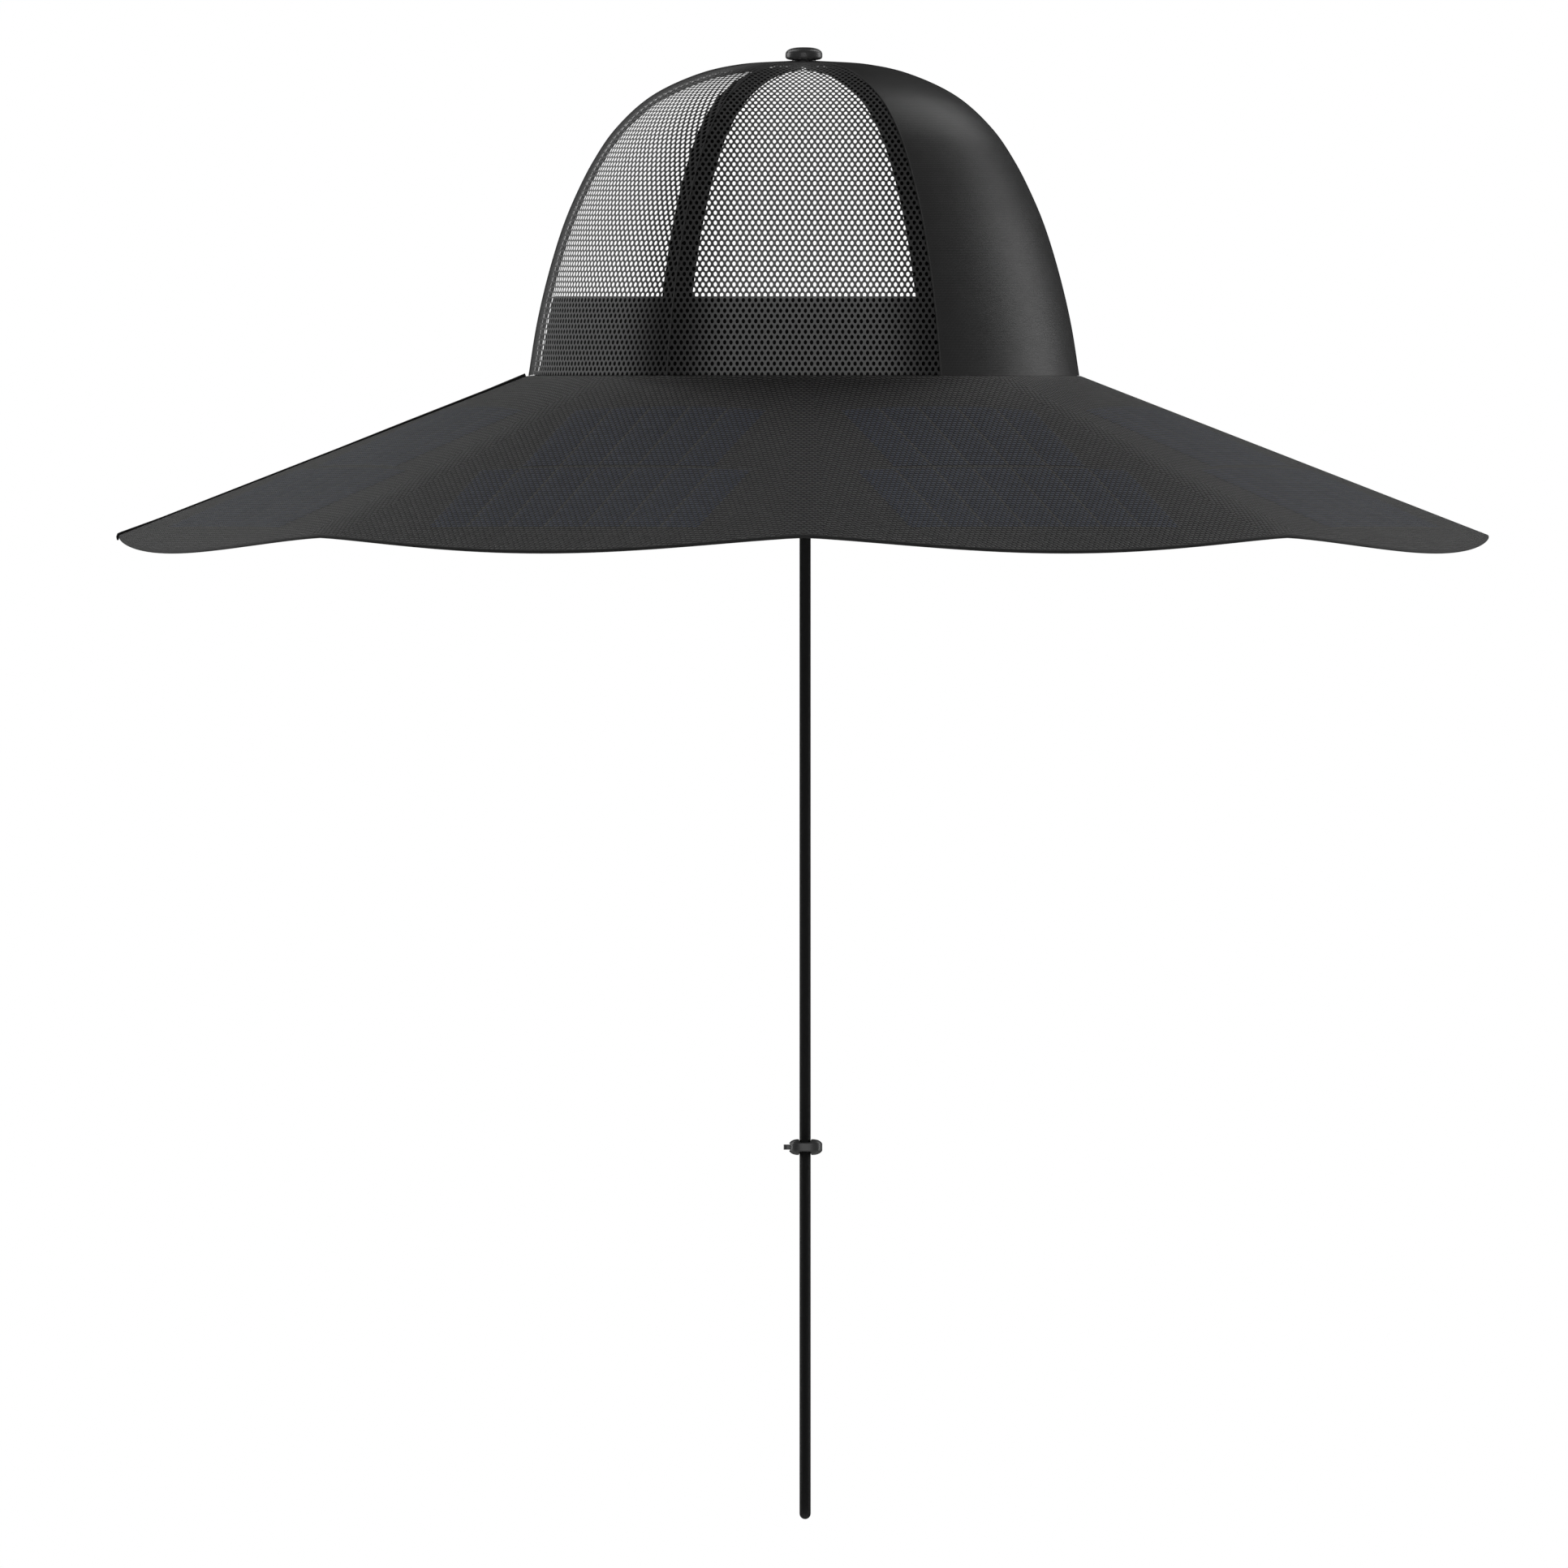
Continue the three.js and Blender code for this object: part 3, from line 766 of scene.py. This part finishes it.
# %% Strap tabs
tab = {"half_x": 0.0060, "half_y": 0.0023, "low": -0.006, "high": 0.014, "sides": 32, "rows": 12}
tab.update({"outer_low": 0.0950, "outer_high": 0.0918, "power": 4, "side": 0.001})
angle = angles(tab["sides"])[None]
share = np.linspace(0, 1, tab["rows"])[:, None]
section_x, section_y = superellipse(angle, tab["half_x"], tab["half_y"], tab["power"])
lean = tab["outer_low"] + share * (tab["outer_high"] - tab["outer_low"]) - tab["half_y"]
height = tab["low"] + share * (tab["high"] - tab["low"])
uv = pairs_of(np.arange(tab["sides"] + 1) * tab["side"], height[:, 0])
faces, uvs = tube_faces(tab["rows"], tab["sides"], uv)
left_tab = points_of(cord_x + section_x, lean + section_y, height)
for hand, points in (("left", left_tab), ("right", mirrored(left_tab))):
    node = f"strap_tab_{hand}"
    new_piece(f"cord_tab_{hand}", points, faces, uvs, "tape_cloth", [node], sharp=60)

# %% [markdown]
# ## Building finishes from nodes
# Several finishes share the same effects, so each effect is built once as a node group with
# named inputs and outputs. The helpers below only save typing: they feed an input, add a node or a
# calculation, start a group, place it, and map one range of values to another.

# %% Node helpers
def feed(tree, socket, value):
    """Links an input to another node's output, or gives it a plain value."""
    if isinstance(value, bpy.types.NodeSocket):
        tree.links.new(value, socket)
    else:
        socket.default_value = value


def feed_all(tree, made, inputs):
    """Feeds a node's inputs by their names."""
    for label, value in inputs.items():
        feed(tree, made.inputs[label], value)


def add_node(tree, kind, **inputs):
    """A node of that kind, with its inputs fed."""
    made = tree.nodes.new(kind)
    feed_all(tree, made, inputs)
    return made


def calculate(tree, operation, *values):
    """One Math node on numbers or other outputs, and its result."""
    made = tree.nodes.new("ShaderNodeMath")
    made.operation = operation
    for socket, value in zip(made.inputs, values):
        feed(tree, socket, value)
    return made.outputs[0]


def new_group(name, inputs, outputs):
    """An empty group: its tree, its inputs by name, and its output node."""
    tree = bpy.data.node_groups.new(name, "ShaderNodeTree")
    for label, value in inputs.items():
        kind = "NodeSocketVector" if value is None else "NodeSocketFloat"
        socket = tree.interface.new_socket(label, in_out="INPUT", socket_type=kind)
        if value is not None:
            socket.default_value = value
    for label in outputs:
        tree.interface.new_socket(label, in_out="OUTPUT", socket_type="NodeSocketFloat")
    entry = tree.nodes.new("NodeGroupInput")
    leave = tree.nodes.new("NodeGroupOutput")
    return tree, entry.outputs, leave


def use_group(tree, group, **inputs):
    """Places a group in a material's tree and gives its inputs values or links."""
    made = tree.nodes.new("ShaderNodeGroup")
    made.node_tree = group
    feed_all(tree, made, inputs)
    return made.outputs


def ramp(tree, value, low, high, to_low, to_high, soft=True):
    """Maps a value from one range to another, with soft ends, and stops at the ends."""
    made = tree.nodes.new("ShaderNodeMapRange")
    made.interpolation_type = "SMOOTHSTEP" if soft else "LINEAR"
    feed_all(tree, made, {"Value": value, "From Min": low, "From Max": high})
    feed_all(tree, made, {"To Min": to_low, "To Max": to_high})
    return made.outputs[0]


def if_seen(tree, seen, unseen):
    """One value where the camera looks straight at something, and another for all other light."""
    path = tree.nodes.new("ShaderNodeLightPath")
    return ramp(tree, path.outputs["Is Camera Ray"], 0, 1, unseen, seen, soft=False)


# %% [markdown]
# ## Shared effects
# Film emboss: short dashes in staggered rows, each one a soft bump. Weave: threads that pass over
# each other in turn. Mottle: slow, uneven patches, as dust and handling leave them. Each could be
# painted, but as formulas they stay sharp at any distance and keep their real size.

# %% Film emboss
dash_half = {"across": 0.44, "row": 0.40}
dash_pitch = {"Place": None, "Across": 0.00202, "Row": 0.00188}
emboss, ins, leave = new_group("film_emboss", dash_pitch, ["Height", "Tone"])
split = add_node(emboss, "ShaderNodeSeparateXYZ", Vector=ins["Place"])
row = calculate(emboss, "DIVIDE", split.outputs[1], ins["Row"])
row_number = calculate(emboss, "FLOOR", row)
shift = calculate(emboss, "FRACT", calculate(emboss, "MULTIPLY", row_number, 0.5))
dash = calculate(emboss, "ADD", calculate(emboss, "DIVIDE", split.outputs[0], ins["Across"]), shift)


def from_centre(place, half):
    """The square of the distance from the middle of a dash, as a share of its half size."""
    middle = calculate(emboss, "SUBTRACT", calculate(emboss, "FRACT", place), 0.5)
    return calculate(emboss, "POWER", calculate(emboss, "DIVIDE", middle, half), 2.0)


wide = from_centre(dash, dash_half["across"])
tall = from_centre(row, dash_half["row"])
distance = calculate(emboss, "ADD", wide, tall)
emboss.links.new(ramp(emboss, distance, 0.3, 1.2, 1.0, 0.0), leave.inputs["Height"])
number = add_node(emboss, "ShaderNodeCombineXYZ", X=calculate(emboss, "FLOOR", dash), Y=row_number)
chance = add_node(emboss, "ShaderNodeTexWhiteNoise", Vector=number.outputs[0])
emboss.links.new(chance.outputs["Value"], leave.inputs["Tone"])

# %% Weave
weave, ins, leave = new_group("weave", {"Place": None, "Across": 0.0006, "Up": 0.0006}, ["Height"])
split = add_node(weave, "ShaderNodeSeparateXYZ", Vector=ins["Place"])


def thread(place, pitch):
    """Which thread a place is on, and its height across the thread: |sin(pi * place / pitch)|."""
    number = calculate(weave, "DIVIDE", place, pitch)
    turn = calculate(weave, "MULTIPLY", number, math.pi)
    return number, calculate(weave, "ABSOLUTE", calculate(weave, "SINE", turn))


def on_top(height, other, share):
    """A thread's height where it lies over the other: height * (0.4 + 0.6 * other) * share."""
    waved = calculate(weave, "ADD", 0.4, calculate(weave, "MULTIPLY", other, 0.6))
    return calculate(weave, "MULTIPLY", calculate(weave, "MULTIPLY", height, waved), share)


u, height_u = thread(split.outputs[0], ins["Across"])
v, height_v = thread(split.outputs[1], ins["Up"])
both = calculate(weave, "ADD", calculate(weave, "FLOOR", u), calculate(weave, "FLOOR", v))
odd = calculate(weave, "FRACT", calculate(weave, "MULTIPLY", both, 0.5))
over = calculate(weave, "MULTIPLY", odd, 2.0)
warp = on_top(height_u, height_v, over)
weft = on_top(height_v, height_u, calculate(weave, "SUBTRACT", 1.0, over))
weave.links.new(calculate(weave, "ADD", warp, weft), leave.inputs["Height"])

# %% Mottle
mottle, ins, leave = new_group("mottle", {"Place": None, "Scale": 60.0, "Detail": 3.0}, ["Mask"])
noise = add_node(mottle, "ShaderNodeTexNoise", Vector=ins["Place"], Scale=ins["Scale"],
                 Detail=ins["Detail"])
mottle.links.new(ramp(mottle, noise.outputs[0], 0.3, 0.7, 0.0, 1.0), leave.inputs["Mask"])
print("groups:", [group.name for group in bpy.data.node_groups])


# %% [markdown]
# ## The finishes
# All cloth here is near black, so most of what shows is how it catches light. Most finishes mix a
# dark and a light tone by their own pattern, which is also their fine bump. Beside the seams the
# net has painted shade, darkest over the tapes behind it, and the front gores have a little painted
# shade too. The colours are written as they look on a screen.

# %% Starting a finish
def shade(red, green, blue):
    """A screen colour from 0 to 255 as the light it stands for."""
    value = np.array([red, green, blue]) / 255
    light = np.where(value <= 0.04045, value / 12.92, ((value + 0.055) / 1.055) ** 2.4)
    return (*light.tolist(), 1.0)


def grey(level):
    """The same for a grey."""
    return shade(level, level, level)


def start_finish(slot, roughness, specular, sheen=0.0, sheen_roughness=0.5):
    """The slot's material with a Principled shader, and its tree, shader, UV and object place."""
    material = finish_of(slot)
    material.use_nodes = True
    tree = material.node_tree
    shader = tree.nodes["Principled BSDF"]
    feed_all(tree, shader, {"Roughness": roughness, "Specular IOR Level": specular})
    feed_all(tree, shader, {"Sheen Weight": sheen, "Sheen Roughness": sheen_roughness})
    surface = tree.nodes.new("ShaderNodeUVMap")
    surface.uv_map = "surface"
    place = tree.nodes.new("ShaderNodeTexCoord")
    return tree, shader, surface.outputs[0], place.outputs["Object"]


def mix_colours(tree, mask, low, high):
    """One colour where the mask is 0 and another where it is 1. Each may be a link."""
    made = tree.nodes.new("ShaderNodeMix")
    made.data_type = "RGBA"
    tree.links.new(mask, made.inputs["Factor"])
    for label, value in (("A", low), ("B", high)):
        socket = [s for s in made.inputs if s.name == label and s.type == "RGBA"][0]
        feed(tree, socket, value)
    return [s for s in made.outputs if s.type == "RGBA"][0]


def paint(tree, shader, mask, low, high):
    """Mixes the surface's colour from two others by a mask."""
    tree.links.new(mix_colours(tree, mask, low, high), shader.inputs["Base Color"])


def add_bump(tree, shader, height, distance, strength):
    """Bends the surface's light by a height, given in metres of depth."""
    bump = add_node(tree, "ShaderNodeBump", Height=height, Distance=distance, Strength=strength)
    tree.links.new(bump.outputs[0], shader.inputs["Normal"])


def attribute_ramp(tree, label, low, high, to_low):
    """Maps a piece's own mark from low to high, in its units, to to_low and 1."""
    mark = tree.nodes.new("ShaderNodeAttribute")
    mark.attribute_name = label
    return ramp(tree, mark.outputs["Fac"], low, high, to_low, 1.0)


def threaded(tree, surface, place, across, up, scale, least):
    """Threads of that pitch with slow patches: the tone is the threads' height times a factor
    that goes from least to 1 over the patches. Gives the threads, the patches and the tone."""
    threads = use_group(tree, weave, Place=surface, Across=across, Up=up)["Height"]
    patches = use_group(tree, mottle, Place=place, Scale=scale)["Mask"]
    tone = calculate(tree, "MULTIPLY", threads, ramp(tree, patches, 0, 1, least, 1.0))
    return threads, patches, tone


# %% Woven cloth of the front gores
tree, shader, surface, place = start_finish("woven_cloth", 0.34, 0.125)
threads, patches, tone = threaded(tree, surface, place, 0.00045, 0.00060, 140.0, 0.92)
# Painted shade: the cloth's colour darkens to 0.87 of its tone within 10 mm of the side seam,
# standing in for the shade that falls into the seam.
tone = calculate(tree, "MULTIPLY", tone, attribute_ramp(tree, "from_seam", 0.0, 0.010, 0.87))
paint(tree, shader, tone, grey(54), grey(88))
tree.links.new(ramp(tree, patches, 0, 1, 0.33, 0.36), shader.inputs["Roughness"])
add_bump(tree, shader, threads, 0.00006, 0.4)

# %% Knitted net
tree, shader, surface, place = start_finish("net_cloth", 0.6, 0.1)
threads, patches, tone = threaded(tree, surface, place, 0.00028, 0.00022, 180.0, 0.85)
# Painted shade: the net's colour is darker over the seam tapes and near the seams, and fades back
# to its own colour 24 mm from the seam, in place of the shade that falls there.
free_net = mix_colours(tree, tone, grey(118), grey(152))
seam_shaded_net = mix_colours(tree, tone, grey(66), grey(90))
away_from_seam_shade = attribute_ramp(tree, "from_seam", 0.003, 0.024, 0.0)
paint(tree, shader, away_from_seam_shade, seam_shaded_net, free_net)
add_bump(tree, shader, threads, 0.00005, 0.4)

# %% Tapes and sweatband
for slot, dark, light in (("tape_cloth", 8, 16), ("band_cloth", 24, 42)):
    tree, shader, surface, place = start_finish(slot, 0.9, 0.1)
    threads, patches, tone = threaded(tree, surface, place, 0.0007, 0.0005, 90.0, 0.7)
    paint(tree, shader, tone, grey(dark), grey(light))
    add_bump(tree, shader, threads, 0.00015, 0.7)


# %% Embossed film
def film_finish(slot):
    """The gloss, the emboss and the uneven roughness of film, with its tree, shader and tone."""
    tree, shader, surface, place = start_finish(slot, 0.45, 0.23, sheen=0.24, sheen_roughness=0.3)
    dashes = use_group(tree, emboss, Place=surface)
    patches = use_group(tree, mottle, Place=place, Scale=45.0)["Mask"]
    uneven = ramp(tree, dashes["Tone"], 0, 1, 0.70, 1.0)
    tree.links.new(ramp(tree, patches, 0, 1, 0.42, 0.48), shader.inputs["Roughness"])
    add_bump(tree, shader, dashes["Height"], 0.00028, 0.8)
    return tree, shader, calculate(tree, "MULTIPLY", dashes["Height"], uneven)


# %% Film of the brim
tree, shader, tone = film_finish("brim_film")
paint(tree, shader, tone, grey(3), shade(84, 84, 83))

# %% Solar cells under the same film
tree, shader, tone = film_finish("solar_cells")
cell_colour = mix_colours(tree, tone, shade(0, 1, 4), shade(76, 84, 103))
gap_colour = mix_colours(tree, tone, shade(34, 33, 30), shade(106, 103, 96))
on_cell = attribute_ramp(tree, "cell", 0.3, 0.7, 0.0)
paint(tree, shader, on_cell, gap_colour, cell_colour)

# %% Hem band and piping
edge_cloths = (("binding_cloth", 40, 54, 0.0005), ("piping_cord", 16, 26, 0.0004))
for slot, dark, light, across in edge_cloths:
    tree, shader, surface, place = start_finish(slot, 0.7, 0.35, sheen=0.1)
    threads, patches, tone = threaded(tree, surface, place, across, 0.0004, 120.0, 0.7)
    paint(tree, shader, tone, grey(dark), grey(light))
    add_bump(tree, shader, threads, 0.00008, 0.5)

# %% Braided cord
strands_round = 16
tree, shader, surface, place = start_finish("chin_cord", 0.6, 0.3)
turned_45 = add_node(tree, "ShaderNodeMapping", Vector=surface, Rotation=(0, 0, math.pi / 4))
strand = math.pi * cord_diameter / (strands_round * math.sqrt(2))
strands = use_group(tree, weave, Place=turned_45.outputs[0], Across=strand, Up=strand)["Height"]
paint(tree, shader, strands, grey(16), grey(29))
add_bump(tree, shader, strands, 0.00018, 0.7)

# %% Moulded plastic
tree, shader, surface, place = start_finish("lock_plastic", 0.34, 0.42)
grain = use_group(tree, mottle, Place=place, Scale=2500.0, Detail=2.0)["Mask"]
patches = use_group(tree, mottle, Place=place, Scale=160.0)["Mask"]
paint(tree, shader, patches, grey(83), grey(91))
tree.links.new(ramp(tree, patches, 0, 1, 0.30, 0.36), shader.inputs["Roughness"])
add_bump(tree, shader, grain, 0.00004, 0.4)

# %% [markdown]
# ## Floor and light
# The hat is shown in front of plain white. Two soft lamps light it from the front, one low and
# one high, and four more from both sides behind it, which gives the cloth its bright edges. The
# world and the floor are pale where the camera sees them and give little light themselves, so the
# background stays white while the cloth keeps its shape. The floor lies well below the cord's loop.

# %% Floor
floor_half = 4.0
floor_height = -1.3
floor_sides = np.array([(-1, -1), (1, -1), (1, 1), (-1, 1)]) * floor_half
floor_mesh = bpy.data.meshes.new("floor")
floor_mesh.from_pydata([(x, y, floor_height) for x, y in floor_sides.tolist()], [], [(0, 1, 2, 3)])
floor = put_in_scene("floor", floor_mesh)
floor_finish = bpy.data.materials.new("pale_floor")
floor_finish.use_nodes = True
tree = floor_finish.node_tree
shader = tree.nodes["Principled BSDF"]
feed_all(tree, shader, {"Base Color": (0.8, 0.8, 0.8, 1), "Roughness": 0.9})
glow = if_seen(tree, 0.95, 0.0)
feed_all(tree, shader, {"Emission Color": (1, 1, 1, 1), "Emission Strength": glow})
floor_mesh.materials.append(floor_finish)

# %% World
world = bpy.data.worlds.new("white_studio")
bpy.context.scene.world = world
world.use_nodes = True
tree = world.node_tree
background = {"Color": (1, 1, 1, 1), "Strength": if_seen(tree, 1.0, 0.01)}
feed_all(tree, tree.nodes["Background"], background)


# %% Lamps
def add_lamp(name, degrees, rise, away, width, height, watts):
    """A soft lamp that faces the hat. Its degrees are turned from the camera's side, its rise
    is its angle over the crown's base, and away is its distance."""
    data = bpy.data.lights.new(name, "AREA")
    data.shape = "RECTANGLE"
    data.size = width
    data.size_y = height
    data.energy = watts
    lamp = put_in_scene(name, data)
    turn, lift = math.radians(degrees), math.radians(rise)
    outwards = (math.sin(turn) * math.cos(lift), -math.cos(turn) * math.cos(lift), math.sin(lift))
    lamp.location = Vector(outwards) * away
    lamp.rotation_euler = Vector(outwards).to_track_quat("Z", "Y").to_euler()


add_lamp("low_front_lamp", 0, -5.4, 2.2, 1.0, 0.48, 6.2)
add_lamp("high_front_lamp", 0, 25, 2.2, 1.0, 1.0, 6.5)
for side, way in (("left", -1), ("right", 1)):
    add_lamp(f"low_{side}_lamp", way * 115, 10, 2.2, 1.1, 1.4, 15.5)
    add_lamp(f"high_{side}_lamp", way * 140, 45, 2.2, 0.7, 1.4, 8.2)

# %% [markdown]
# ## Finish
# The picture is shown without a film look, so that the colours above come out as written.

# %% Finish
bpy.context.scene.view_settings.view_transform = "Standard"
